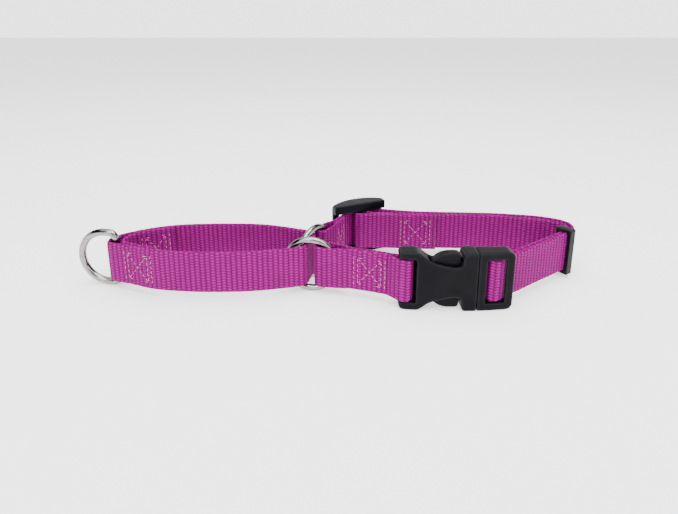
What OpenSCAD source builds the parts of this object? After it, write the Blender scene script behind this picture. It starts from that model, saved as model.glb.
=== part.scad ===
// Martingale dog collar: a neck strap with a side-release buckle, joined by two welded
// rings to a small control loop that carries the leash ring.
// Millimetres, +Z up. The collar stands on the edges of its hardware, webbing upright.

/* [Webbing] */
// Height of the upright webbing
strap_w = 18.4; // [17.6:0.1:18.6]
// Thickness of one layer of webbing
strap_t = 1.8; // [1.6:0.05:1.85]
// Facets on each span of a strap's curve
curve_steps = 4; // [2:1:6]

/* [Rings] */
// Height of every piece of hardware that stands on the surface
gear_h = 25.6; // [25.4:0.1:26]
// Thickness of the welded ring wire
wire_d = 2.9; // [2.6:0.1:3]
// Gap that a webbing fold leaves round a wire or a bar
fold_gap = 0.3; // [0.2:0.05:0.35]
// Thickness of the leash ring's wire
leash_wire_d = 3.2; // [2.8:0.1:3.4]
// Height of the leash ring
leash_ring_h = 27; // [26:0.1:28]
// Depth of the leash ring, from the middle of its bar to the middle of its bow
leash_ring_depth = 17.4; // [17:0.1:21]

/* [Buckle] */
// Thickness of the buckle at its middle
buckle_t = 9; // [8.6:0.1:9.4]
// Thickness of the prongs and the guide
prong_t = 4.2; // [3.8:0.1:4.4]
// Clearance between the prongs and the socket, all round
prong_gap = 0.3; // [0.2:0.05:0.4]
// Radius of the sweep of the buckle's front face
buckle_sweep = 150; // [120:5:220]

/* [Slides] */
// Height of the tri-glide
glide_h = 27; // [25.6:0.1:28]
// Thickness of the tri-glide's lower rail
lower_rail_h = 3.2; // [2.8:0.1:3.3]
// Thickness of the tri-glide's upper rail
upper_rail_h = 4.4; // [3.2:0.1:4.5]
// Width of the keeper along the strap
keeper_w = 4; // [3.6:0.1:5.6]
// Thickness of the keeper's wall
keeper_wall = 1.5; // [1.4:0.1:2]
// Height of the keeper
keeper_h = 22; // [21.6:0.1:24]

/* [Stitching] */
// Length of one stitch
stitch_l = 1.9; // [1.5:0.1:2.2]
// Stitches on each side of a sewn box
stitch_count = 5; // [4:1:6]
// Length of a sewn box along the strap
box_l = 14; // [12:0.5:15]
// Height of a sewn box
box_h = 13.6; // [12:0.2:14.2]

/* [Hidden] */
$fn = 48;

webbing_colour = "MediumVioletRed";
thread_colour = "Pink";
plastic_colour = "DimGray";
metal_colour = "Silver";

mid_z = gear_h / 2;
strap_z = mid_z - strap_w / 2;
wire_r = wire_d / 2;
ring_r = gear_h / 2 - wire_r;
fold_r = wire_r + fold_gap;
double_t = 2 * strap_t + 0.06;
stitch_t = 0.35;
stitch_w = 0.6;
// Moves the plan below so that the object's box is centred on the origin
plan_shift = [0.26, -0.84, 0];

// Upright bars and rings that the webbing folds round, in plan
leash_bar = [-97, -10];
leash_corner_r = 3.2;
leash_turn = -9;
front_ring_at = [-9.9, -14.8];
front_ring_turn = -8;
rear_ring_at = [-8.7, -1.1];
rear_ring_turn = 56;
bar_r = 1.4;
bar_fold_r = bar_r + fold_gap;
socket_bar = [29.8, -28];
base_bar = [66.8, -27.8];
// Distance from a ring's centre to the round end of the short strap folded over its wire
ring_pocket = 5.05;

buckle_y = -28;
buckle_left = 27.2;
buckle_seam = 59.3;
buckle_right = 74.6;
buckle_mid = (buckle_left + buckle_right) / 2;
buckle_back = buckle_y + buckle_t / 2;
slot_z = 3.2;
throat_z = 3.4;

glide_at = [12.5, 27.3];
glide_turn = 25;
glide_reach = 12.2;
glide_bar_set = 2.4;
glide_bar = glide_at + glide_bar_set * [sin(glide_turn), -cos(glide_turn)];
keeper_at = [107.9, -0.5];
keeper_turn = 35;

// Mid lines of the webbing in plan, with the numbers of the points where pieces meet
loop_points = [
    [-99.2, -6.2], [-100.1, -9.5], [-98.6, -12.6], [-91, -14.9], [-79, -19.6], [-67.3, -21.7],
    [-55.5, -22.5], [-43.8, -22.5], [-32, -21.4], [-22.5, -19.5], [-16, -17.9], [-12.8, -16.4],
    [-11.6, -13.8], [-10.8, -9.5],
    [-9.4, -5], [-9.5, -1.7], [-11.8, 0.7], [-16.1, 2.5], [-22.5, 4.9], [-31, 7.6],
    [-41, 9], [-52, 9.2], [-64, 8.8], [-74.5, 7.6], [-83, 5], [-90.5, 1.2], [-96, -2.7],
    [-99.2, -6.2], [-100.1, -9.5], [-98.6, -12.6]
];
loop_nose = 1;
loop_bend = 13;
loop_end = 28;
overlap_points = [
    [-77, -18.2], [-83.6, -15.8], [-90, -13.1], [-93.4, -11.2], [-94, -8], [-92.5, -3.6],
    [-89, -0.4], [-82.2, 3], [-76.5, 5.1]
];
front_strap_points = [[8.6, -18.9], [12.4, -20], [16.4, -21.3], [20, -22.6], [23.2, -24]];
buckle_strap_points = [
    [74.5, -23.6], [79, -20.7], [85, -16.5], [91.4, -12], [97.8, -7.6], [103, -3.94], keeper_at
];
outer_points = [
    [0.4, 14], [1.6, 16.2], [2.8, 18.3],
    [5, 21.8], [8, 26], [11.7, 29.4], [16.5, 31], [21, 30.6], [25, 29.5], [30, 28.2],
    [37, 26.7], [44.5, 25.7], [54.5, 25], [65, 24.4], [78, 23.5],
    [86, 22.5], [94, 21.2], [101, 19.6], [107, 17.3], [111.6, 14.4], [114.1, 10.6], [114.1, 6.4],
    [112.5, 2.6], [110.25, -0.02], [108.45, -1.28]
];
weave_start = 2;
weave_end = 9;
bend_outer_start = 14;
outer_end = 24;
inner_points = [
    [20.6, 24.57], [32.8, 23.5], [43, 22.8], [53, 22.25],
    [65, 21.6], [78, 20.5],
    [86, 19.2], [93.5, 17.5], [101, 15.3], [106.3, 13.4], [110, 10.9], [111.6, 7.6],
    [111, 4.2], [109.15, 1.54], [107.35, 0.28]
];
adjuster_end = 3;
bend_inner_start = 5;
inner_end = 14;
tail_points = [[20.6, 22.71], [32.8, 21.64], [43, 20.94], [51.4, 20.46]];
rear_inner_points = [[2, 13.1], [3.2, 15.3], [4.6, 17.7]];

// Smooth curve through the points p
function span_point(a, b, c, d, t) =
    0.5 * (2 * b + (c - a) * t + (2 * a - 5 * b + 4 * c - d) * t * t
        + (3 * b - a - 3 * c + d) * t * t * t);
function curve(p) = [
    for (i = [0:len(p) - 2])
        let (a = p[max(i - 1, 0)], d = p[min(i + 2, len(p) - 1)])
        for (k = [0:curve_steps - 1]) span_point(a, p[i], p[i + 1], d, k / curve_steps),
    p[len(p) - 1]
];
function unit(v) = v / norm(v);
function left_of(v) = [-v[1], v[0]];
function normal_at(p, i) = left_of(unit(p[min(i + 1, len(p) - 1)] - p[max(i - 1, 0)]));
function side_line(p, first, last, by) = [for (i = [first:last]) p[i] + by * normal_at(p, i)];
function reversed(p) = [for (i = [len(p) - 1:-1:0]) p[i]];
// Place and heading at distance s along p, counted from its point i
function station(p, i, s) =
    let (step = p[i + 1] - p[i])
    s <= norm(step) ? [p[i] + unit(step) * s, atan2(step[1], step[0])]
        : station(p, i + 1, s - norm(step));
function arc(c, r, a, b) = [for (t = [0:1 / 12:1.01]) c + r * [cos(a + (b - a) * t), sin(a + (b - a) * t)]];
// Closed outline round a bar: a round end at c1, straight walls to c2, then narrowing to the tip
function pocket(c1, c2, tip, r, e) =
    let (n = left_of(unit(c2 - c1)), m = left_of(unit(tip - c2)), a = atan2(n[1], n[0]))
    concat(arc(c1, r, a, a + 180), [c2 - r * n, tip - e * m, tip + e * m, c2 + r * n]);

module placed() {
    translate(plan_shift) children();
}

module upright(colour) {
    placed() color(colour) translate([0, 0, strap_z]) linear_extrude(strap_w) children();
}

// One piece of strap along the curve p, between two of its given points
module strap(points, first, last, thickness = strap_t) {
    p = curve(points);
    a = first * curve_steps;
    b = last * curve_steps;
    outline = concat(side_line(p, a, b, thickness / 2), reversed(side_line(p, a, b, -thickness / 2)));
    upright(webbing_colour) polygon(outline);
}

// Webbing doubled round a bar or a wire, open inside
module fold(c1, c2, tip, r) {
    end = tip - 0.4 * unit(tip - c2);
    upright(webbing_colour) difference() {
        polygon(pocket(c1, c2, end, r + strap_t, double_t / 2));
        polygon(pocket(c1, c2, end - 0.5 * unit(tip - c2), r, 0.03));
    }
}
module ring_fold(at, turn, tip) {
    along = [cos(turn), sin(turn)];
    fold(at + ring_pocket * along, at + ring_r * along, tip, fold_r);
}
module bar_fold(bar, tip) {
    fold(bar, bar + 0.6 * unit(tip - bar), tip, bar_fold_r);
}

// One row of stitches on a strap's face: from and to are [distance along, height] in the box
module stitch_row(p, start, face, from, to) {
    rise = atan2(to[1] - from[1], to[0] - from[0]);
    for (k = [0:stitch_count - 1]) {
        at = from + (to - from) * (k + 0.5) / stitch_count;
        place = station(p, start, at[0]);
        translate([place[0][0], place[0][1], mid_z + at[1]]) rotate([0, 0, place[1]])
            translate([0, face, 0]) rotate([0, -rise, 0])
                cube([stitch_l, stitch_t, stitch_w], center = true);
    }
}
// A sewn box with a cross in it, on the face at the given distance from the mid line
module sewn_box(points, first, face) {
    p = curve(points);
    start = first * curve_steps;
    edge = box_h / 2;
    inset = 1.3;
    placed() color(thread_colour) {
        stitch_row(p, start, face, [inset, edge], [box_l - inset, edge]);
        stitch_row(p, start, face, [inset, -edge], [box_l - inset, -edge]);
        stitch_row(p, start, face, [0.3, -edge], [0.3, edge]);
        stitch_row(p, start, face, [box_l, -edge], [box_l, edge]);
        stitch_row(p, start, face, [inset, -edge + inset], [box_l - inset, edge - inset]);
    }
}
single_face = strap_t / 2 + stitch_t / 2 + 0.08;
double_face = double_t / 2 + stitch_t / 2 + 0.08;

// Welded ring standing upright, its plane along the given heading
module welded_ring(at, turn) {
    placed() color(metal_colour) translate([at[0], at[1], mid_z]) rotate([90, 0, turn])
        rotate_extrude() translate([ring_r, 0]) circle(wire_r);
}
module front_ring() welded_ring(front_ring_at, front_ring_turn);
module rear_ring() welded_ring(rear_ring_at, rear_ring_turn);

// Leash ring: an upright bar, two arms and a half-round bow that points away from the collar
module leash_corner(wire, bow) {
    translate([-leash_corner_r, 0, bow - leash_corner_r])
        rotate([90, 0, 0]) rotate_extrude(angle = 90) translate([leash_corner_r, 0]) circle(wire);
}
module leash_half(wire, bow) {
    cylinder(h = bow - leash_corner_r, r = wire);
    leash_corner(wire, bow);
    translate([-leash_corner_r, 0, bow]) rotate([0, -90, 0])
        cylinder(h = leash_ring_depth - bow - leash_corner_r, r = wire);
}
module leash_ring() {
    wire = leash_wire_d / 2;
    bow = leash_ring_h / 2 - wire;
    placed() color(metal_colour) translate([leash_bar[0], leash_bar[1], leash_ring_h / 2])
        rotate([0, 0, leash_turn]) {
            leash_half(wire, bow);
            mirror([0, 0, 1]) leash_half(wire, bow);
            translate([bow - leash_ring_depth, 0, 0]) rotate([90, 0, 0]) rotate([0, 0, 90])
                rotate_extrude(angle = 180) translate([bow, 0]) circle(wire);
        }
}

module control_loop_front() strap(loop_points, loop_nose, loop_bend);
module control_loop_back() strap(loop_points, loop_bend, loop_end);
module control_loop_overlap() strap(overlap_points, 0, len(overlap_points) - 1);
module loop_front_stitching() {
    sewn_box(loop_points, 3, -single_face);
}
module loop_back_stitching() {
    sewn_box(overlap_points, 5.5, -single_face);
}

module front_strap_ring_fold() ring_fold(front_ring_at, front_ring_turn, front_strap_points[0]);
module front_strap() strap(front_strap_points, 0, len(front_strap_points) - 1, double_t);
module front_strap_buckle_fold() {
    bar_fold(socket_bar, front_strap_points[len(front_strap_points) - 1]);
}
module front_strap_stitching() {
    sewn_box(front_strap_points, 0, -double_face);
    sewn_box(front_strap_points, 0, double_face);
}

// Flat shape in the buckle's side view, cut through its whole thickness
module side_shape(outline) {
    translate([0, buckle_y + buckle_t, 0]) rotate([90, 0, 0]) linear_extrude(2 * buckle_t) polygon(outline);
}
// Side outline made from its upper half: the lower half is its mirror image
function both_halves(upper) = concat(upper, [for (p = reversed(upper)) [p[0], gear_h - p[1]]]);
// Block with the buckle's swept front face, between two stations of its length
module swept_block(x1, x2, back) {
    linear_extrude(gear_h) intersection() {
        translate([buckle_mid, buckle_y - buckle_t / 2 + buckle_sweep]) circle(buckle_sweep, $fn = 240);
        translate([x1, buckle_y - buckle_t]) square([x2 - x1, back - buckle_y + buckle_t]);
    }
}
module cavity(x1, x2, edge_z, half_t) {
    translate([x1, buckle_y - half_t, edge_z]) cube([x2 - x1, 2 * half_t, gear_h - 2 * edge_z]);
}
module upright_bar(at) {
    translate([at[0], at[1], slot_z - 1]) cylinder(h = gear_h - 2 * slot_z + 2, r = bar_r);
}

module buckle_socket() {
    room = prong_t / 2 + prong_gap;
    ear = buckle_left + 9.6;
    slot_end = socket_bar[0] + bar_fold_r + strap_t + 0.9;
    upper = [
        [buckle_left, gear_h - 1.6], [buckle_left + 0.5, gear_h - 0.5], [buckle_left + 1.6, gear_h],
        [ear - 2.4, gear_h], [ear - 1, gear_h - 0.5], [ear + 1.2, gear_h - 2.2], [ear + 3.2, gear_h - 3.7],
        [ear + 5.4, 21.1], [ear + 9, 20.1], [ear + 13, 19.4], [ear + 15, 19.7], [ear + 15.9, 20.8],
        [ear + 16.3, gear_h - 0.9], [ear + 17.1, gear_h], [buckle_seam, gear_h]
    ];
    placed() color(plastic_colour) {
        difference() {
            intersection() {
                swept_block(buckle_left, buckle_seam, buckle_back);
                side_shape(both_halves(upper));
            }
            // The strap's slot: straight in front of the bar, curved round the fold behind it
            cavity(buckle_left - 1, socket_bar[0], slot_z, buckle_t);
            translate([socket_bar[0] - 1, buckle_y - buckle_t, slot_z])
                cube([slot_end - socket_bar[0] + 1, buckle_t, gear_h - 2 * slot_z]);
            translate([socket_bar[0], socket_bar[1], slot_z])
                cylinder(h = gear_h - 2 * slot_z, r = bar_fold_r + strap_t + 0.35);
            cavity(ear + 1, buckle_seam + 1, throat_z, room);
        }
        upright_bar(socket_bar);
    }
}

module buckle_base() {
    back = -23.9;
    wall_end = base_bar[0] - bar_fold_r - strap_t - 0.4;
    slot_right = 71;
    guide = [[buckle_seam + 1, mid_z + 2], [47, mid_z + 1.6], [45.6, mid_z + 0.8]];
    upper = [
        [buckle_seam + 0.1, gear_h], [buckle_right - 2.2, gear_h], [buckle_right - 0.7, gear_h - 0.7],
        [buckle_right, gear_h - 2.2]
    ];
    placed() color(plastic_colour) {
        difference() {
            intersection() {
                swept_block(buckle_seam + 0.1, buckle_right, back);
                side_shape(both_halves(upper));
            }
            cavity(wall_end, slot_right, slot_z, buckle_t);
            // Room behind the end rail, where both layers of the strap leave the buckle
            translate([slot_right - 1, buckle_y - 1.2, slot_z]) cube([9, buckle_t, gear_h - 2 * slot_z]);
        }
        upright_bar(base_bar);
        intersection() {
            side_shape(both_halves(guide));
            translate([40, buckle_y - prong_t / 2, 0]) cube([buckle_seam - 39, prong_t, gear_h]);
        }
    }
}

// Upper prong: a springy arm whose head locks behind the rim of the socket
module prong() {
    outline = [
        [buckle_seam, 17.6], [buckle_seam, 20.6], [52.5, 21], [52.3, 24.3], [51.2, 25], [47, 25],
        [44.4, 24.4], [42, 22.9], [39.6, 20.4], [38.8, 18.4], [39.4, 17.2], [41, 16.9], [52.6, 17.4]
    ];
    placed() color(plastic_colour) intersection() {
        side_shape(outline);
        translate([38, buckle_y - prong_t / 2, 0]) cube([24, prong_t, gear_h]);
    }
}
module upper_prong() prong();
module lower_prong() {
    translate([0, 0, gear_h]) mirror([0, 0, 1]) prong();
}

module buckle_strap_fold() bar_fold(base_bar, buckle_strap_points[0]);
module buckle_strap() strap(buckle_strap_points, 0, len(buckle_strap_points) - 1, double_t);

// Keeper: a closed plastic loop that slides along both layers of the strap
module keeper() {
    window = [keeper_w + 2, double_t + 0.9, strap_w + 0.7];
    middle = [keeper_at[0], keeper_at[1], mid_z];
    placed() color(plastic_colour) translate(middle) rotate([0, 0, keeper_turn]) difference() {
        cube([keeper_w, window[1] + 2 * keeper_wall, keeper_h], center = true);
        cube(window, center = true);
    }
}

module bend_outer_strap() strap(outer_points, bend_outer_start, outer_end);
module bend_inner_strap() strap(inner_points, bend_inner_start, inner_end);
module back_outer_strap() strap(outer_points, weave_end, bend_outer_start);
module back_inner_strap() strap(inner_points, adjuster_end, bend_inner_start);

// Tri-glide: two rails with a round back, joined by two end bars and a set-in middle bar
module glide_rail(height) {
    rail_r = 22;
    front = glide_bar_set + bar_r;
    linear_extrude(height) intersection() {
        translate([0, 5.2 - rail_r]) circle(rail_r, $fn = 96);
        translate([-glide_reach - 2.4, -front]) square([2 * glide_reach + 4, 12]);
    }
}
module glide_post(x, y, half) {
    translate([x - half[0], y - half[1], lower_rail_h / 2])
        cube([2 * half[0], 2 * half[1], glide_h - lower_rail_h / 2 - 1]);
}
module tri_glide() {
    bar_z = lower_rail_h / 2;
    placed() color(plastic_colour) translate(glide_at) rotate([0, 0, glide_turn]) {
        glide_rail(lower_rail_h);
        translate([0, 0, glide_h - upper_rail_h]) glide_rail(upper_rail_h);
        translate([0, -glide_bar_set, bar_z]) cylinder(h = glide_h - bar_z - 1, r = bar_r);
        glide_post(-glide_reach - 0.8, -0.2, [1.6, 1.1]);
        glide_post(glide_reach, 0.3, [1.3, 1]);
    }
}

module adjuster_weave() strap(outer_points, weave_start, weave_end);
module adjuster_fold() bar_fold(glide_bar, [20.6, 23.64]);
module adjuster_inner_layer() strap(inner_points, 0, adjuster_end);
module strap_tail() strap(tail_points, 0, len(tail_points) - 1);
module tail_stitching() {
    tail = curve(tail_points);
    placed() color(thread_colour) for (side = [-1, 1]) {
        stitch_row(tail, 5, -single_face, [1, side * box_h / 2], [box_l, side * box_h / 2]);
    }
}

module rear_strap_ring_fold() ring_fold(rear_ring_at, rear_ring_turn, [1.2, 13.55]);
module rear_strap_outer() strap(outer_points, 0, weave_start);
module rear_strap_inner() strap(rear_inner_points, 0, len(rear_inner_points) - 1);
module rear_strap_stitching() {
    inner = curve(rear_inner_points);
    placed() color(thread_colour) stitch_row(inner, 1, -single_face, [0.5, -box_h / 2], [0.5, box_h / 2]);
}

leash_ring();
front_ring();
rear_ring();
control_loop_front();
control_loop_back();
control_loop_overlap();
loop_front_stitching();
loop_back_stitching();
front_strap_ring_fold();
front_strap();
front_strap_buckle_fold();
front_strap_stitching();
buckle_socket();
buckle_base();
upper_prong();
lower_prong();
buckle_strap_fold();
buckle_strap();
keeper();
bend_outer_strap();
bend_inner_strap();
back_outer_strap();
back_inner_strap();
tri_glide();
adjuster_weave();
adjuster_fold();
adjuster_inner_layer();
strap_tail();
tail_stitching();
rear_strap_ring_fold();
rear_strap_outer();
rear_strap_inner();
rear_strap_stitching();
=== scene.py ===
"""Martingale collar: ribbed webbing, moulded buckle and slides, and welded rings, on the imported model."""
import bpy
import math
import numpy as np
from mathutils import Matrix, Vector


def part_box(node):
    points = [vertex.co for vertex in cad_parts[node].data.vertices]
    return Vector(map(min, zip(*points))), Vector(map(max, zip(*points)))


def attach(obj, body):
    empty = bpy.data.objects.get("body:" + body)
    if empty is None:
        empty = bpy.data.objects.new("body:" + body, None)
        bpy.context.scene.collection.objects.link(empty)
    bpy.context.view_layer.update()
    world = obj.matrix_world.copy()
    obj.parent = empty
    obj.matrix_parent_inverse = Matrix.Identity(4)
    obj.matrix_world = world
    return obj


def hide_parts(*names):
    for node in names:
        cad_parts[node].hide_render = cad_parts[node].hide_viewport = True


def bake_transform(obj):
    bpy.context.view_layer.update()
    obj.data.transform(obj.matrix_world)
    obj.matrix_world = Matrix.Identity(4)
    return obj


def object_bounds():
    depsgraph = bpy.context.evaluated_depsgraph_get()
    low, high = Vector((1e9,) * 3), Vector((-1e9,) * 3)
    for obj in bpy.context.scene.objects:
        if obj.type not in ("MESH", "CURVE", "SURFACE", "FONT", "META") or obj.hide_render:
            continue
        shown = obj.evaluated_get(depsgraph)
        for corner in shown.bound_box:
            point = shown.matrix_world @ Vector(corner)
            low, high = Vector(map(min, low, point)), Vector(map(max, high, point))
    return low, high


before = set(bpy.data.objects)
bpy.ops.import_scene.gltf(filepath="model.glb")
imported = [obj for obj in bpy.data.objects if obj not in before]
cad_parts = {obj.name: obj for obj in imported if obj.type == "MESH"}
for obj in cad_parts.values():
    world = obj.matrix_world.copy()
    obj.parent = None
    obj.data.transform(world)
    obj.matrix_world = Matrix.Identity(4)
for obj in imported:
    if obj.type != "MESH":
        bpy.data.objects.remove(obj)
cad_low, cad_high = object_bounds()

# Webbing, in metres
STRAP_T = 0.0018
STRAP_W = 0.01845
RIB_PITCH = 0.0022
BEAD_PITCH = 0.00127
RIB_HEIGHT = 0.00046
# The part of a rib's height that lies inside the strap's nominal thickness
RIB_SUNK = 0.62
LAYER_GAP = 0.00003
# The strap's edges: their share of the middle's thickness, the width of their taper, their crown and scallops
EDGE_SHARE = 0.45
EDGE_ROUND = 0.0009
EDGE_CROWN = 0.00022
EDGE_SCALLOP = 0.00009
STEPS_PER_RIB = 8
ROWS = 64
# Curvature, per metre, where a bend starts to press its inner ribs and where it presses them most
LOOSE_BEND = 80
TIGHT_BEND = 260
# How much the ribs flatten and the webbing thins where it is pressed most, and how far a ring's wire reaches
PRESSED = 0.75
THINNED = 0.40
RING_REACH = 0.0055
# Where along the back strap's CAD box its layers are cut
BACK_SPLIT = 0.4
# How finely a fold's path is rounded, so that the fold stays clear of its ring
FOLD_ROUND = 0.0005

# Thread and sewn boxes
THREAD_R = 0.000115
STITCH_PITCH = 0.0023
THREAD_SUNK = 0.00002
BOX_W = 0.014
BOX_H = 0.0138
BOX_INSET = 0.0018

# Moulded plastic: the cells it is remeshed in
CELL = 0.00024

# Directions in plan, and up
FRONT = (0.0, -1.0)
BACK = (0.0, 1.0)
UP = np.array([0.0, 0.0, 1.0])

strap_low, strap_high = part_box("front_strap")
MID_Z = (strap_low.z + strap_high.z) / 2


# ---------------------------------------------------------------- helpers

def link(name, mesh):
    """A new object of the mesh, in the scene."""
    obj = bpy.data.objects.new(name, mesh)
    bpy.context.scene.collection.objects.link(obj)
    return obj


def mesh_from(name, points, faces, smooth=True):
    mesh = bpy.data.meshes.new(name)
    mesh.from_pydata([tuple(p) for p in points], [], [tuple(f) for f in faces])
    mesh.validate()
    if smooth:
        mesh.polygons.foreach_set("use_smooth", [True] * len(mesh.polygons))
    mesh.update()
    return mesh


def join(lines):
    """One polyline from several that meet end to end, each turned round where that is needed."""
    path = lines[0]
    if len(lines) > 1:
        ends = [np.linalg.norm(path[i] - lines[1][j]) for i in (0, -1) for j in (0, -1)]
        if min(ends[:2]) < min(ends[2:]):
            path = path[::-1]
    for line in lines[1:]:
        if np.linalg.norm(path[-1] - line[-1]) < np.linalg.norm(path[-1] - line[0]):
            line = line[::-1]
        path = np.vstack([path, line])
    return path


def lengths(path):
    """The distance along a path at each of its points."""
    return np.concatenate([[0], np.cumsum(np.linalg.norm(np.diff(path, axis=0), axis=1))])


def resample(path, step):
    """The path again, as points that lie about a step apart."""
    s = lengths(path)
    keep = np.concatenate([[True], np.diff(s) > 1e-6])
    path, s = path[keep], s[keep]
    count = max(2, int(round(s[-1] / step)) + 1)
    t = np.linspace(0, s[-1], count)
    return np.stack([np.interp(t, s, path[:, k]) for k in (0, 1)], axis=1)


def soften(path, closed, radius=0.0009):
    """Rounds the facets of a path without moving its ends."""
    step = 0.0003
    p = resample(path, step)
    half = int(3 * radius / step)
    weight = np.exp(-0.5 * (np.arange(-half, half + 1) * step / radius) ** 2)
    weight /= weight.sum()
    if closed:
        p = p[:-1]
        padded = np.vstack([p[-half:], p, p[:half]])
    else:
        padded = np.vstack([2 * p[0] - p[half:0:-1], p, 2 * p[-1] - p[-2:-half - 2:-1]])
    out = np.stack([np.convolve(padded[:, k], weight, "valid") for k in (0, 1)], axis=1)
    if closed:
        out = np.vstack([out, out[:1]])
    return out


def normals(path, closed=False):
    """The unit normals in plan, to the left of the path."""
    if closed:
        ring = path[:-1]
        d = np.roll(ring, -1, axis=0) - np.roll(ring, 1, axis=0)
        d = np.vstack([d, d[:1]])
    else:
        d = np.gradient(path, axis=0)
    d /= np.linalg.norm(d, axis=1)[:, None]
    return np.stack([-d[:, 1], d[:, 0]], axis=1)


# ---------------------------------------------------------------- strap lines, read from the CAD nodes

def lower_rim(node):
    """The edges round an upright node's lower face, as a table from each corner to its two neighbours."""
    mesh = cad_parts[node].data
    points = np.array([v.co for v in mesh.vertices])
    low = points[:, 2] < points[:, 2].min() + 1e-5
    key = [tuple(k) for k in np.round(points[:, :2], 5)]
    used = {}
    for face in mesh.polygons:
        corners = list(face.vertices)
        if not all(low[i] for i in corners):
            continue
        for a, b in zip(corners, corners[1:] + corners[:1]):
            edge = frozenset((key[a], key[b]))
            used[edge] = used.get(edge, 0) + 1
    follow = {}
    for edge, count in used.items():
        if count == 1 and len(edge) == 2:
            a, b = tuple(edge)
            follow.setdefault(a, []).append(b)
            follow.setdefault(b, []).append(a)
    return follow


def outlines(node):
    """The closed outlines of an upright node's lower face, the longest first."""
    follow = lower_rim(node)
    loops = []
    while follow:
        start = min(follow)
        loop, here = [start], follow[start][0]
        before = start
        while here != start:
            loop.append(here)
            onward = [k for k in follow[here] if k != before]
            before, here = here, onward[0]
        for k in loop:
            follow.pop(k, None)
        loops.append(np.array(loop))
    return sorted(loops, key=lambda loop: -lengths(np.vstack([loop, loop[:1]]))[-1])


def corners_of(loop):
    """The places in an outline where it turns sharply."""
    back = loop - np.roll(loop, 1, axis=0)
    on = np.roll(loop, -1, axis=0) - loop
    turn = np.abs(np.arctan2(back[:, 0] * on[:, 1] - back[:, 1] * on[:, 0], (back * on).sum(axis=1)))
    return [int(i) for i in np.where(turn > math.radians(60))[0]]


def run_between(loop, a, b):
    count = (b - a) % len(loop)
    return np.array([loop[(a + k) % len(loop)] for k in range(count + 1)])


def mid_line(node):
    """The mid line of a strap node, from the two long sides of its outline."""
    loop = outlines(node)[0]
    c = corners_of(loop)
    runs = [run_between(loop, c[k], c[(k + 1) % 4]) for k in range(4)]
    runs.sort(key=lambda run: -lengths(run)[-1])
    a, b = runs[0], runs[1][::-1]
    return (a + b) / 2


def fold_line(node):
    """The mid line of the webbing in a fold: its outer wall, moved in by half a thickness."""
    loop = outlines(node)[0]
    c = corners_of(loop)
    runs = [run_between(loop, c[0], c[1]), run_between(loop, c[1], c[0])]
    wall = max(runs, key=lambda run: lengths(run)[-1])
    wall = resample(wall, 0.0002)
    n = normals(wall)
    side = np.sign(((loop.mean(axis=0) - wall) * n).sum())
    return wall + n * side * STRAP_T / 2


def upright_frame(node):
    """Centre, heading, half length and wire radius of a wire ring that stands upright."""
    lo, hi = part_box(node)
    centre = np.array([(lo[k] + hi[k]) / 2 for k in range(3)])
    points = np.array([v.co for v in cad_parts[node].data.vertices])[:, :2] - centre[:2]
    heading, across = np.linalg.svd(points, full_matrices=False)[2]
    if heading[0] < 0:
        heading = -heading
    wire = np.abs(points @ across).max()
    return centre, np.array([*heading, 0.0]), np.abs(points @ heading).max(), wire


def layer(line, side):
    """One of the two layers of a doubled strap."""
    return line + normals(line) * side * (STRAP_T / 2 + LAYER_GAP)


# ---------------------------------------------------------------- materials

def new_material(name):
    material = bpy.data.materials.new(name)
    material.use_nodes = True
    tree = material.node_tree
    shader = tree.nodes["Principled BSDF"]
    return material, tree, shader


def noise(tree, scale, detail, coordinates=None):
    node = tree.nodes.new("ShaderNodeTexNoise")
    node.inputs["Scale"].default_value = scale
    node.inputs["Detail"].default_value = detail
    if coordinates is None:
        coordinates = tree.nodes.new("ShaderNodeTexCoord").outputs["Object"]
    tree.links.new(coordinates, node.inputs["Vector"])
    return node.outputs["Fac"]


def ramp(tree, value, stops):
    node = tree.nodes.new("ShaderNodeValToRGB")
    elements = node.color_ramp.elements
    while len(elements) < len(stops):
        elements.new(0.5)
    for element, (place, colour) in zip(elements, stops):
        element.position = place
        element.color = (*colour, 1)
    tree.links.new(value, node.inputs["Fac"])
    return node.outputs["Color"]


def math_node(tree, operation, a, b):
    node = tree.nodes.new("ShaderNodeMath")
    node.operation = operation
    for socket, value in zip(node.inputs, (a, b)):
        if isinstance(value, (int, float)):
            socket.default_value = value
        else:
            tree.links.new(value, socket)
    return node.outputs[0]


def mix(tree, mode, factor, a, b):
    node = tree.nodes.new("ShaderNodeMix")
    node.data_type = "RGBA"
    node.blend_type = mode
    for socket, value in ((node.inputs[0], factor), (node.inputs[6], a), (node.inputs[7], b)):
        if isinstance(value, (int, float)):
            socket.default_value = value
        elif isinstance(value, tuple):
            socket.default_value = (*value, 1)
        else:
            tree.links.new(value, socket)
    return node.outputs[2]


def bump(tree, shader, height, distance, strength):
    node = tree.nodes.new("ShaderNodeBump")
    node.inputs["Distance"].default_value = distance
    node.inputs["Strength"].default_value = strength
    tree.links.new(height, node.inputs["Height"])
    tree.links.new(node.outputs["Normal"], shader.inputs["Normal"])


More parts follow.
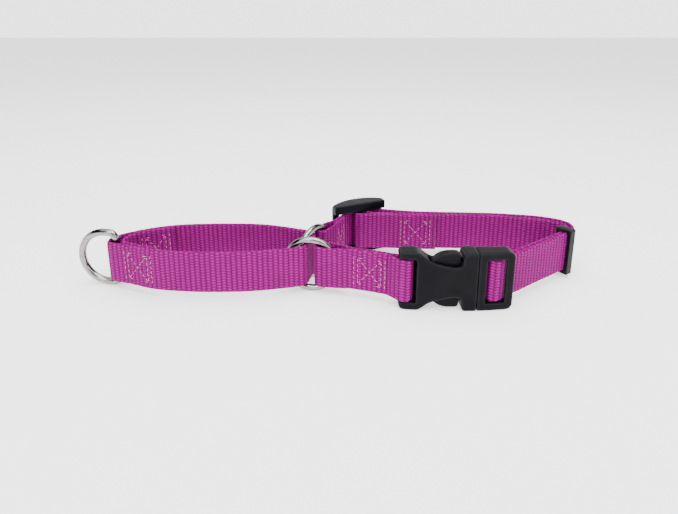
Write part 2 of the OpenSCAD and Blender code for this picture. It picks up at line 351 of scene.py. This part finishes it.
def webbing_material():
    """Dyed nylon: painted highlights on the yarn crowns, painted shade in the crevices, fine filaments and a
    little fading.
    """
    material, tree, shader = new_material("webbing")
    weave = tree.nodes.new("ShaderNodeAttribute")
    weave.attribute_name = "weave"
    parts = tree.nodes.new("ShaderNodeSeparateXYZ")
    tree.links.new(weave.outputs["Vector"], parts.inputs[0])
    height = parts.outputs["Z"]
    # Painted shade darkens the weave's crevices and a painted highlight lightens its crowns, following the
    # weave's height
    painted_crevice_shade_and_crown_highlight = ramp(tree, height, [(0.0, (0.030, 0.0004, 0.018)), (0.25, (0.140, 0.001, 0.084)),
                                (0.60, (0.235, 0.001, 0.147)), (1.0, (0.34, 0.005, 0.256))])
    patches = ramp(tree, noise(tree, 90, 4), [(0.3, (0.88, 0.84, 0.9)), (0.7, (1.0, 1.0, 1.0))])
    colour = mix(tree, "MULTIPLY", 1.0, painted_crevice_shade_and_crown_highlight, patches)
    stretch = tree.nodes.new("ShaderNodeVectorMath")
    stretch.operation = "MULTIPLY"
    stretch.inputs[1].default_value = (6000, 1200, 0)
    tree.links.new(weave.outputs["Vector"], stretch.inputs[0])
    filaments = noise(tree, 1.0, 2, stretch.outputs[0])
    fine = ramp(tree, filaments, [(0.3, (0.86, 0.86, 0.86)), (0.7, (1.08, 1.06, 1.08))])
    colour = mix(tree, "MULTIPLY", 1.0, colour, fine)
    tree.links.new(colour, shader.inputs["Base Color"])
    rough = ramp(tree, filaments, [(0.3, (0.42, 0.42, 0.42)), (0.7, (0.6, 0.6, 0.6))])
    tree.links.new(rough, shader.inputs["Roughness"])
    shader.inputs["Specular IOR Level"].default_value = 0.06
    shader.inputs["Sheen Weight"].default_value = 0.01
    shader.inputs["Sheen Roughness"].default_value = 0.35
    shader.inputs["Sheen Tint"].default_value = (1.0, 0.45, 0.85, 1)
    bump(tree, shader, filaments, 0.00008, 0.6)
    return material


def thread_material():
    material, tree, shader = new_material("thread")
    twist = noise(tree, 2600, 2)
    colour = ramp(tree, twist, [(0.3, (0.44, 0.11, 0.25)), (0.7, (0.66, 0.33, 0.39))])
    tree.links.new(colour, shader.inputs["Base Color"])
    rough = ramp(tree, twist, [(0.3, (0.45, 0.45, 0.45)), (0.7, (0.65, 0.65, 0.65))])
    tree.links.new(rough, shader.inputs["Roughness"])
    shader.inputs["Sheen Weight"].default_value = 0.3
    bump(tree, shader, twist, 0.00006, 0.6)
    return material


def plastic_material():
    """Charcoal acetal: fine moulded grain, soft gloss, and a painted highlight that lightens its edges."""
    material, tree, shader = new_material("black_plastic")
    grain = noise(tree, 5200, 3)
    flow = noise(tree, 160, 3)
    colour = ramp(tree, flow, [(0.3, (0.0026, 0.0025, 0.0036)), (0.7, (0.0044, 0.0042, 0.0060))])
    edge = tree.nodes.new("ShaderNodeNewGeometry").outputs["Pointiness"]
    # Painted highlight: the base colour is lightened on convex edges, where pointiness is high
    painted_edge_highlight = ramp(tree, edge, [(0.5, (0.0, 0.0, 0.0)), (0.58, (1.0, 1.0, 1.0))])
    colour = mix(tree, "MIX", math_node(tree, "MULTIPLY", painted_edge_highlight, 0.6), colour, (0.040, 0.040, 0.046))
    tree.links.new(colour, shader.inputs["Base Color"])
    rough = ramp(tree, flow, [(0.3, (0.30, 0.30, 0.30)), (0.7, (0.38, 0.38, 0.38))])
    tree.links.new(rough, shader.inputs["Roughness"])
    shader.inputs["Specular IOR Level"].default_value = 0.06
    bump(tree, shader, grain, 0.00002, 0.35)
    return material


def metal_material():
    """Nickel plate: bright, faintly warm, with fine wear and a soft waviness."""
    material, tree, shader = new_material("nickel")
    shader.inputs["Metallic"].default_value = 1.0
    wear = noise(tree, 700, 5)
    colour = ramp(tree, wear, [(0.3, (0.22, 0.217, 0.207)), (0.7, (0.31, 0.305, 0.29))])
    tree.links.new(colour, shader.inputs["Base Color"])
    rough = ramp(tree, wear, [(0.3, (0.06, 0.06, 0.06)), (0.7, (0.13, 0.13, 0.13))])
    tree.links.new(rough, shader.inputs["Roughness"])
    bump(tree, shader, noise(tree, 420, 2), 0.00006, 0.25)
    return material


def melted_material():
    """Nylon that a hot knife has sealed: browned, glassy and uneven."""
    material, tree, shader = new_material("melted_nylon")
    scorch = noise(tree, 900, 4)
    colour = ramp(tree, scorch, [(0.3, (0.10, 0.001, 0.055)), (0.7, (0.20, 0.006, 0.110))])
    tree.links.new(colour, shader.inputs["Base Color"])
    rough = ramp(tree, scorch, [(0.3, (0.25, 0.25, 0.25)), (0.7, (0.45, 0.45, 0.45))])
    tree.links.new(rough, shader.inputs["Roughness"])
    bump(tree, shader, scorch, 0.0001, 0.5)
    return material


WEBBING = webbing_material()
MELTED = melted_material()
THREAD = thread_material()
PLASTIC = plastic_material()
METAL = metal_material()


# ---------------------------------------------------------------- webbing

def rib_wave(u, v):
    """Height of the weave, 0 to 1: upright ribs of slanted beads, each rib about half a bead out of step."""
    number = np.round(u / RIB_PITCH)
    across = u / RIB_PITCH - number
    rib = 0.24 + 0.76 * np.cos(np.pi * across)
    slant = 0.95 * np.pi * np.abs(across)
    step = np.pi * number + 0.7 * np.sin(2.4 * number)
    bead = 0.5 + 0.5 * np.cos(2 * np.pi * v / BEAD_PITCH + step + slant)
    return rib * (0.22 + 0.78 * bead ** 0.7)


def pressed_sides(path, n, ring):
    """How flat the ribs are pressed, 0 to 1, on the side that the normals point to and on the other side.

    A tight bend presses the ribs of its inner face, and a ring's wire those of the fold that holds it."""
    along = np.stack([n[:, 1], -n[:, 0]], axis=1)
    curvature = -(np.gradient(n, axis=0) * along).sum(axis=1) / np.gradient(lengths(path))
    press = [np.clip((side * curvature - LOOSE_BEND) / (TIGHT_BEND - LOOSE_BEND), 0, 1) for side in (1, -1)]
    if ring:
        centre, heading, half, wire = upright_frame(ring)
        station = np.clip((path - centre[:2]) @ heading[:2], wire - half, half - wire)
        towards = centre[:2] + station[:, None] * heading[:2] - path
        distance = np.linalg.norm(towards, axis=1)
        near = np.clip((RING_REACH - distance) / RIB_PITCH, 0, 1)
        facing = (towards * n).sum(axis=1) / distance
        press = [np.maximum(p, near * np.clip(2 * side * facing, 0, 1)) for p, side in zip(press, (1, -1))]
    return press


def face_offset(wave, press):
    """How far a face of the strap stands from its mid line."""
    base = STRAP_T / 2 - RIB_HEIGHT * RIB_SUNK
    return base * (1 - THINNED * press) + RIB_HEIGHT * wave * (1 - PRESSED * press)


def strap_rows(path, u, closed, ring):
    """The points round the strap at each station of its path, their weave height and their place across."""
    n = normals(path, closed)
    half_w = STRAP_W / 2
    v = np.linspace(-half_w, half_w, ROWS + 1)
    pick = np.cos(4 * np.pi * u / RIB_PITCH)
    wave_front = rib_wave(u[:, None], v[None, :])
    wave_back = rib_wave(u[:, None] + RIB_PITCH / 2, v[None, :] + BEAD_PITCH / 4)
    front_press, back_press = [press[:, None] for press in pressed_sides(path, n, ring)]
    taper = np.clip((half_w - np.abs(v)) / EDGE_ROUND, 0, 1) ** 0.5
    edge = (EDGE_SHARE + (1 - EDGE_SHARE) * taper)[None, :]
    front = face_offset(wave_front, front_press) * edge
    back = -face_offset(wave_back, back_press) * edge
    scallop = EDGE_SCALLOP * pick[:, None] * (np.abs(v) / half_w)[None, :] ** 8
    z = MID_Z + v[None, :] + scallop * np.sign(v)[None, :]
    points, waves = [], []
    sides = ((front, z, wave_front, ROWS, 1), (back[:, ::-1], z[:, ::-1], wave_back[:, ::-1], 0, -1))
    for offset, height, wave, row, sign in sides:
        plan = path[:, None, :] + n[:, None, :] * offset[:, :, None]
        points.append(np.concatenate([plan, height[:, :, None]], axis=2))
        waves.append(wave)
        # The crown of the edge that this face leads to
        middle = path + n * ((front[:, row] + back[:, row]) / 2)[:, None]
        top = z[:, row] + sign * EDGE_CROWN * (0.8 + 0.2 * pick)
        points.append(np.concatenate([middle, top[:, None]], axis=1)[:, None, :])
        waves.append((0.55 + 0.3 * pick)[:, None])
    across = np.concatenate([v, [v[-1]], v[::-1], [v[0]]])
    return np.concatenate(points, axis=1), np.concatenate(waves, axis=1), across


def end_faces(row):
    """The faces that close a cut end, from the points round it."""
    size = len(row)
    faces = [(row[k], row[k + 1], row[2 * ROWS + 1 - k], row[2 * ROWS + 2 - k]) for k in range(ROWS)]
    faces.append((row[ROWS], row[ROWS + 1], row[ROWS + 2]))
    faces.append((row[size - 2], row[size - 1], row[0]))
    return faces


def strap_faces(rows, size, closed):
    """The faces along a strap of rows of points, and over its two ends where it has them."""
    index = np.arange(rows * size).reshape(rows, size)
    lower = index if closed else index[:-1]
    upper = np.roll(index, -1, axis=0) if closed else index[1:]
    quads = np.stack([lower, upper, np.roll(upper, -1, axis=1), np.roll(lower, -1, axis=1)], axis=2)
    faces = [tuple(q) for q in quads.reshape(-1, 4)]
    if not closed:
        faces += end_faces(index[0])
        faces += [face[::-1] for face in end_faces(index[-1])]
    return faces


def webbing(name, path, closed=False, ring=None):
    """A strip of ribbed webbing that stands on its edge along a path in plan."""
    total = lengths(path)[-1]
    ribs = max(2, int(round(total / RIB_PITCH)))
    path = resample(path, total / (ribs * STEPS_PER_RIB))
    u = lengths(path) * (ribs * RIB_PITCH / total)
    points, waves, across = strap_rows(path, u, closed, ring)
    rows = len(path) - 1 if closed else len(path)
    size = points.shape[1]
    mesh = mesh_from(name, points[:rows].reshape(-1, 3), strap_faces(rows, size, closed))
    weave = np.stack([np.repeat(u[:rows], size), np.tile(across, rows), waves[:rows].reshape(-1)], axis=1)
    attribute = mesh.attributes.new("weave", "FLOAT_VECTOR", "POINT")
    attribute.data.foreach_set("vector", weave.astype(np.float32).ravel())
    mesh.materials.append(WEBBING)
    obj = link(name, mesh)
    return obj


# ---------------------------------------------------------------- stitching

def dash(a, b, n, radius):
    """One stitch: a short thread that dives into the webbing at both ends."""
    rings, sides = 7, 6
    along = b - a
    up = np.array([n[0], n[1], 0.0])
    across = np.cross(along / np.linalg.norm(along), up)
    points, faces = [], []
    for k in range(rings):
        t = k / (rings - 1)
        rise = radius * (1.6 * math.sin(math.pi * t) - 0.7)
        thick = radius * (0.45 + 0.55 * math.sin(math.pi * t))
        centre = a + along * t + up * rise
        for j in range(sides):
            angle = 2 * math.pi * j / sides
            points.append(centre + thick * (math.cos(angle) * up + math.sin(angle) * across))
    for k in range(rings - 1):
        for j in range(sides):
            i, m = k * sides + j, k * sides + (j + 1) % sides
            faces.append((i, i + sides, m + sides, m))
    faces.append(tuple(range(sides)))
    faces.append(tuple(reversed(range((rings - 1) * sides, rings * sides))))
    return points, faces


def stitching(name, path, face, start, rows):
    """Rows of stitches on one face of a strap. A row is ((along, height), (along, height))."""
    s = lengths(path)
    n = normals(path)
    rng = np.random.default_rng(len(name))
    points, faces = [], []

    def on_face(along, height):
        at = np.clip(start + along, s[0], s[-1])
        plan = [np.interp(at, s, path[:, k]) for k in (0, 1)]
        out = np.array([np.interp(at, s, n[:, k]) for k in (0, 1)])
        return np.array([plan[0] + out[0] * face, plan[1] + out[1] * face, MID_Z + height]), out

    for first, last in rows:
        first, last = np.array(first), np.array(last)
        span = np.linalg.norm(last - first)
        count = max(1, int(round(span / STITCH_PITCH)))
        for k in range(count):
            wobble = rng.normal(0, 0.00014, 2)
            a = first + (last - first) * (k + rng.uniform(0.08, 0.30)) / count + wobble
            b = first + (last - first) * (k + rng.uniform(0.74, 0.95)) / count - wobble
            pa, out = on_face(*a)
            pb, _ = on_face(*b)
            p, f = dash(pa, pb, out * np.sign(face), THREAD_R)
            base = len(points)
            points += p
            faces += [tuple(base + i for i in q) for q in f]
    mesh = mesh_from(name, points, faces)
    mesh.materials.append(THREAD)
    obj = link(name, mesh)
    return obj


def box_rows(length, height):
    """A sewn box: double uprights at both ends, a cross between them, and short upper and lower returns."""
    h = height / 2
    top = h - BOX_INSET / 2
    near, far = BOX_INSET, length - BOX_INSET
    turn = 0.0022
    rows = [((0.0, -h), (0.0, h)), ((length, h), (length, -h))]
    rows += [((near, -top), (near, top)), ((far, top), (far, -top))]
    rows += [((near, -top), (far, top)), ((near, top), (far, -top))]
    for z in (-top, top):
        rows += [((near, z), (near + turn, z)), ((far - turn, z), (far, z))]
    return rows


def cross_rows(length, height):
    """A narrow sewn patch: an upright at each end and a cross between them."""
    h = height / 2
    rows = [((0.0, -h), (0.0, h)), ((length, h), (length, -h))]
    return rows + [((0.0, -h * 0.8), (length, h * 0.8)), ((0.0, h * 0.8), (length, -h * 0.8))]


def sealed_end(name, path, end):
    """The heat-sealed end of a strap: a thin, uneven bead that covers its cut edge."""
    levels, sides = 44, 12
    half_t, half_w = 0.00086, 0.00060
    top = STRAP_W / 2 - 0.0001
    rng = np.random.default_rng(len(name))
    across = normals(path)[end]
    along = np.array([across[1], -across[0]])
    points, faces = [], []
    for z in np.linspace(-top, top, levels):
        swell = rng.uniform(0.85, 1.1)
        shift = rng.normal(0, 0.00006)
        for k in range(sides):
            angle = 2 * math.pi * k / sides
            plan = path[end] + across * math.cos(angle) * half_t * swell
            plan = plan + along * (math.sin(angle) * half_w * swell + shift)
            points.append((plan[0], plan[1], MID_Z + z))
    for row in range(levels - 1):
        for k in range(sides):
            i, m = row * sides + k, row * sides + (k + 1) % sides
            faces.append((i, m, m + sides, i + sides))
    faces.append(tuple(reversed(range(sides))))
    faces.append(tuple(range((levels - 1) * sides, levels * sides)))
    mesh = mesh_from(name, points, faces)
    mesh.materials.append(MELTED)
    bead = link(name, mesh)
    return bead


# ---------------------------------------------------------------- hardware

def sweep(name, centres, radius, sides=24):
    """A closed round wire along a loop of 3-D points that lies in one plane."""
    centres = np.array(centres)
    count = len(centres)
    along = np.roll(centres, -1, axis=0) - np.roll(centres, 1, axis=0)
    along /= np.linalg.norm(along, axis=1)[:, None]
    middle = centres - centres.mean(axis=0)
    flat = np.linalg.svd(middle)[2][2]
    out = np.cross(along, flat)
    angle = np.linspace(0, 2 * np.pi, sides, endpoint=False)
    ring = (np.cos(angle)[None, :, None] * out[:, None, :] + np.sin(angle)[None, :, None] * flat) * radius
    points = (centres[:, None, :] + ring).reshape(-1, 3)
    index = np.arange(count * sides).reshape(count, sides)
    upper = np.roll(index, -1, axis=0)
    quads = np.stack([index, upper, np.roll(upper, -1, axis=1), np.roll(index, -1, axis=1)], axis=2)
    mesh = mesh_from(name, points, quads.reshape(-1, 4))
    mesh.materials.append(METAL)
    obj = link(name, mesh)
    return obj


def welded_ring(name, node, body):
    """A round ring that stands where its CAD node does."""
    centre, heading, half, wire = upright_frame(node)
    angle = np.linspace(0, 2 * np.pi, 160, endpoint=False)[:, None]
    ring = sweep(name, centre + (half - wire) * (np.cos(angle) * heading + np.sin(angle) * UP), wire)
    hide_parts(node)
    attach(ring, body)


def leash_ring():
    """The D-shaped leash ring: a straight bar, two short arms and a half-round bow."""
    lo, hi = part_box("leash_ring")
    centre, heading, half, wire = upright_frame("leash_ring")
    bow = (hi.z - lo.z) / 2 - wire
    corner = 2 * wire
    bar = half - wire
    arcs = [(-bar + bow, 0, bow, 90, 270), (bar - corner, corner - bow, corner, -90, 0),
            (bar - corner, bow - corner, corner, 0, 90)]
    outline = []
    for s, z, radius, first, last in arcs:
        for angle in np.radians(np.linspace(first, last, 60)):
            outline.append((s + radius * math.cos(angle), z + radius * math.sin(angle)))
    outline = resample(np.array(outline + outline[:1]), 0.0004)[:-1]
    ring = sweep("leash_ring_wire", centre + outline[:, :1] * heading + outline[:, 1:] * UP, wire)
    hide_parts("leash_ring")
    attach(ring, "leash_ring")


def moulded(name, node, rounds):
    """A plastic part with the soft edges of a moulding, made from its CAD node."""
    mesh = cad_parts[node].data.copy()
    mesh.materials.clear()
    mesh.materials.append(PLASTIC)
    obj = link(name, mesh)
    cells = obj.modifiers.new("cells", "REMESH")
    cells.mode = "VOXEL"
    cells.voxel_size = CELL
    cells.use_smooth_shade = True
    even = obj.modifiers.new("even", "SMOOTH")
    even.factor = 0.5
    even.iterations = rounds
    graph = bpy.context.evaluated_depsgraph_get()
    soft = bpy.data.meshes.new_from_object(obj.evaluated_get(graph))
    obj.modifiers.clear()
    obj.data = soft
    soft.materials.clear()
    soft.materials.append(PLASTIC)
    soft.polygons.foreach_set("use_smooth", [True] * len(soft.polygons))
    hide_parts(node)
    return obj


def prong_arm(name, node):
    """A prong, moulded from its CAD node."""
    arm = moulded(name, node, rounds=26)
    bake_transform(arm)


welded_ring("front_ring_wire", "front_ring", "front_ring")
welded_ring("rear_ring_wire", "rear_ring", "rear_ring")
leash_ring()
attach(moulded("buckle_socket_shell", "buckle_socket", rounds=36), "collar")
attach(moulded("buckle_base_shell", "buckle_base", rounds=36), "male_half")
prong_arm("upper_prong_arm", "upper_prong")
prong_arm("lower_prong_arm", "lower_prong")
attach(moulded("keeper_loop", "keeper", rounds=9), "keeper")
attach(moulded("tri_glide_frame", "tri_glide", rounds=16), "tri_glide")


# ---------------------------------------------------------------- straps

def turned_towards(line, point):
    """The line, turned round if need be so that it ends nearer to the point."""
    ends = [np.linalg.norm(line[k] - point) for k in (0, -1)]
    return line[::-1] if ends[0] < ends[1] else line


def around(start, turn, finish):
    """A path along start, round a fold and back along finish."""
    path = turned_towards(start, turn.mean(axis=0))
    turn = turned_towards(turn, turned_towards(finish, turn.mean(axis=0))[-1])
    if np.linalg.norm(turn[0] - path[-1]) > np.linalg.norm(turn[-1] - path[-1]):
        turn = turn[::-1]
    back = turned_towards(finish, turn.mean(axis=0))[::-1]
    return np.vstack([path, turn, back])


def split(path, point):
    """The two parts of a path, cut where it is nearest to a point."""
    k = int(np.argmin(np.linalg.norm(path - np.array(point), axis=1)))
    return path[:k + 1], path[k:]


loop_path = soften(join([mid_line("control_loop_front"), mid_line("control_loop_back")]), True)
loop_strap = webbing("control_loop_strap", loop_path, closed=True)
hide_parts("control_loop_front", "control_loop_back")
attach(loop_strap, "control_loop")

lining_path = soften(mid_line("control_loop_overlap"), False)
lining = webbing("control_loop_lining", lining_path)
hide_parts("control_loop_overlap")
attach(lining, "control_loop")

# The short front strap is a closed band
short_line = mid_line("front_strap")
ring_turn = fold_line("front_strap_ring_fold")
buckle_turn = fold_line("front_strap_buckle_fold")
short_line = turned_towards(short_line, buckle_turn.mean(axis=0))
front_layer, rear_layer = layer(short_line, -1), layer(short_line, 1)
half_band = around(front_layer, buckle_turn, rear_layer)
if np.linalg.norm(ring_turn[0] - half_band[-1]) > np.linalg.norm(ring_turn[-1] - half_band[-1]):
    ring_turn = ring_turn[::-1]
short_path = soften(np.vstack([half_band, ring_turn, half_band[:1]]), True, radius=FOLD_ROUND)
short_strap = webbing("front_strap_band", short_path, closed=True, ring="front_ring")
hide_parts("front_strap_ring_fold", "front_strap", "front_strap_buckle_fold")
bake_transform(short_strap)

# The long strap's doubled front run, from the keeper round the plug's bar and back
base_turn = fold_line("buckle_strap_fold")
front_line = turned_towards(mid_line("buckle_strap"), base_turn.mean(axis=0))[::-1]
front_path = soften(around(layer(front_line, -1), base_turn, layer(front_line, 1)), False)
front_strap = webbing("buckle_strap_band", front_path)
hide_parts("buckle_strap_fold", "buckle_strap")
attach(front_strap, "male_half")

# The outer layer, from the keeper round the back, through the tri-glide and round the rear ring
outer_nodes = ("bend_outer_strap", "back_outer_strap", "adjuster_weave", "rear_strap_outer")
outer_line = join([mid_line(node) for node in outer_nodes])
rear_turn = fold_line("rear_strap_ring_fold")
outer_path = soften(around(outer_line, rear_turn, mid_line("rear_strap_inner")), False, radius=FOLD_ROUND)
if outer_path[0][0] < outer_path[-1][0]:
    outer_path = outer_path[::-1]
back_lo, back_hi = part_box("back_outer_strap")
rear_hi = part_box("rear_strap_outer")[1]
# Both back layers are cut here
back_cut = (back_lo.x + BACK_SPLIT * (back_hi.x - back_lo.x), (back_lo.y + back_hi.y) / 2, MID_Z)
crest = (*outer_path[np.argmax(outer_path[:, 1])], MID_Z)
far_path, rest = split(outer_path, back_cut[:2])
weave_path, rest = split(rest, crest[:2])
slope_path, rear_path = split(rest, (rear_hi.x, rear_hi.y))

far = webbing("back_outer_strap_band", far_path)
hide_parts("bend_outer_strap", "back_outer_strap")
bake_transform(far)

weave_right = webbing("adjuster_weave_right", weave_path)
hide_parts("adjuster_weave", "back_outer_strap")
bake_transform(weave_right)

weave_left = webbing("adjuster_weave_left", slope_path)
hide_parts("adjuster_weave")
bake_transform(weave_left)

rear = webbing("rear_strap_band", rear_path, ring="rear_ring")
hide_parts("rear_strap_ring_fold", "rear_strap_outer", "rear_strap_inner")
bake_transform(rear)
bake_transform(sealed_end("rear_strap_end", rear_path, -1))

# The inner layer, back to the tri-glide's middle bar, and the sewn tail
inner_nodes = ("bend_inner_strap", "back_inner_strap", "adjuster_inner_layer")
inner_path = soften(join([mid_line(node) for node in inner_nodes]), False)
if inner_path[0][0] < inner_path[-1][0]:
    inner_path = inner_path[::-1]
inner_far, inner_near = split(inner_path, back_cut[:2])

inner_strap = webbing("back_inner_strap_band", inner_far)
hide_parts("bend_inner_strap", "back_inner_strap")
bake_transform(inner_strap)

pulled_strap = webbing("adjuster_inner_band", inner_near)
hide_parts("adjuster_inner_layer", "back_inner_strap")
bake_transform(pulled_strap)

glide_turn = fold_line("adjuster_fold")
tail_line = turned_towards(mid_line("strap_tail"), glide_turn.mean(axis=0))
if np.linalg.norm(glide_turn[0] - tail_line[-1]) > np.linalg.norm(glide_turn[-1] - tail_line[-1]):
    glide_turn = glide_turn[::-1]
tail_path = soften(np.vstack([tail_line, glide_turn]), False)
tail = webbing("adjuster_tail", tail_path)
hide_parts("adjuster_fold", "strap_tail")
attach(tail, "tri_glide")
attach(sealed_end("tail_end", tail_path, 0), "tri_glide")


# ---------------------------------------------------------------- sewn boxes

# Where the boxes start along their straps, how wide they are, and the side that the rear patch faces
SHORT_BOX_START = 0.0007
LINING_BOX_W = 0.0125
TAIL_BOX_START = 0.0028
TAIL_BOX_W = 0.0146
PATCH_W = 0.0062
PATCH_INSET = 0.0012
PATCH_SIDE = (1.0, -0.6)

def sewn(name, node, path, start, towards, length=BOX_W, pattern=box_rows):
    """A sewn box on the face of a path that looks towards a direction in plan."""
    middle = int(np.searchsorted(lengths(path), start + length / 2))
    side = 1.0 if np.dot(normals(path)[middle], towards) > 0 else -1.0
    thread = stitching(name, path, side * (STRAP_T / 2 - THREAD_SUNK), start, pattern(length, BOX_H))
    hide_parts(node)
    return thread


def reach(path, node):
    """The distance along a path at which it first comes into a node's box in plan."""
    lo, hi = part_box(node)
    x, y = path[:, 0], path[:, 1]
    level = (x > lo.x) & (x < hi.x) & (y > lo.y - STRAP_T) & (y < hi.y + STRAP_T)
    return lengths(path)[level].min()


front_box = sewn("loop_front_thread", "loop_front_stitching", loop_path,
                 reach(loop_path, "loop_front_stitching"), FRONT)
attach(front_box, "control_loop")
back_box = sewn("loop_back_thread", "loop_back_stitching", lining_path,
                reach(lining_path, "loop_back_stitching"), FRONT, length=LINING_BOX_W)
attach(back_box, "control_loop")

# The short strap's box shows on both of its faces
short_sides = (("front_strap_thread", front_layer, FRONT), ("front_strap_back_thread", rear_layer, BACK))
for name, line, side in short_sides:
    box = sewn(name, "front_strap_stitching", soften(line, False), SHORT_BOX_START, side)
    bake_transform(box)

tail_box = sewn("tail_thread", "tail_stitching", tail_path, TAIL_BOX_START, FRONT, length=TAIL_BOX_W)
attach(tail_box, "tri_glide")

patch_start = lengths(rear_path)[-1] - PATCH_W - PATCH_INSET
patch = sewn("rear_strap_thread", "rear_strap_stitching", rear_path, patch_start, PATCH_SIDE,
             length=PATCH_W, pattern=cross_rows)
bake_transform(patch)


# ---------------------------------------------------------------- floor, light and camera

def stage_floor():
    size = 6.0
    points = [(-size, -size, 0), (size, -size, 0), (size, size, 0), (-size, size, 0)]
    mesh = mesh_from("floor", points, [(0, 1, 2, 3)], smooth=False)
    material, tree, shader = new_material("floor")
    paper = ramp(tree, noise(tree, 40, 3), [(0.3, (0.93, 0.93, 0.93)), (0.7, (0.95, 0.95, 0.95))])
    tree.links.new(paper, shader.inputs["Base Color"])
    shader.inputs["Roughness"].default_value = 0.95
    shader.inputs["Specular IOR Level"].default_value = 0.1
    shader.inputs["Emission Color"].default_value = (1.0, 1.0, 1.0, 1)
    shader.inputs["Emission Strength"].default_value = 1.0
    mesh.materials.append(material)
    floor = link("floor", mesh)
    floor.location.z = cad_low.z - 0.00005


def area_light(name, place, aim, size, power, shape_y=None):
    data = bpy.data.lights.new(name, "AREA")
    data.energy = power
    data.size = size
    if shape_y:
        data.shape = "RECTANGLE"
        data.size_y = shape_y
    light = bpy.data.objects.new(name, data)
    light.location = place
    light.rotation_euler = (Vector(aim) - Vector(place)).to_track_quat("-Z", "Y").to_euler()
    bpy.context.scene.collection.objects.link(light)


def studio():
    """A plain pale backdrop, and for reflections a room with a dark band and a dark flag at each side."""
    world = bpy.data.worlds.new("studio")
    world.use_nodes = True
    tree = world.node_tree
    direction = tree.nodes.new("ShaderNodeTexCoord").outputs["Generated"]
    parts = tree.nodes.new("ShaderNodeSeparateXYZ")
    tree.links.new(direction, parts.inputs[0])
    white, pale, dark = (1.0, 1.0, 1.0), (0.8, 0.8, 0.8), (0.04, 0.04, 0.045)
    sky = ramp(tree, parts.outputs["Z"], [(0.0, white), (0.08, white), (0.2, pale), (0.36, pale),
                                          (0.46, dark), (0.68, dark), (0.8, pale)])
    sideways = math_node(tree, "ABSOLUTE", parts.outputs["X"], 0.0)
    raised = ramp(tree, parts.outputs["Z"], [(0.10, (0.0, 0.0, 0.0)), (0.16, white)])
    flags = ramp(tree, sideways, [(0.60, white), (0.72, dark), (0.88, dark), (0.95, white)])
    flags = mix(tree, "MIX", raised, white, flags)
    room = mix(tree, "MULTIPLY", 1.0, sky, flags)
    seen = tree.nodes.new("ShaderNodeLightPath").outputs["Is Camera Ray"]
    background = tree.nodes["Background"]
    tree.links.new(mix(tree, "MIX", seen, room, (1.22, 1.22, 1.22)), background.inputs["Color"])
    background.inputs["Strength"].default_value = 2.4
    bpy.context.scene.world = world
    area_light("overhead", (0.05, -0.05, 0.75), (0, 0, 0), 0.7, 9)
    area_light("left_front", (-0.45, -0.65, 0.65), (0, 0, 0.01), 0.5, 5)
    area_light("right_front", (0.5, -0.55, 0.55), (0, 0, 0.01), 0.35, 2.5, 0.6)


def camera():
    """Close, just above the collar, looking 14 degrees down."""
    data = bpy.data.cameras.new("camera")
    data.sensor_width = 36
    data.lens = 26.55
    data.shift_y = -0.154
    data.clip_start = 0.005
    data.clip_end = 20
    obj = bpy.data.objects.new("camera", data)
    centre = (cad_low + cad_high) / 2
    obj.location = (centre.x + 0.0028, centre.y - 0.2180, cad_low.z + 0.1139)
    obj.rotation_euler = (math.radians(76), 0, 0)
    bpy.context.scene.collection.objects.link(obj)
    bpy.context.scene.camera = obj


stage_floor()
studio()
camera()
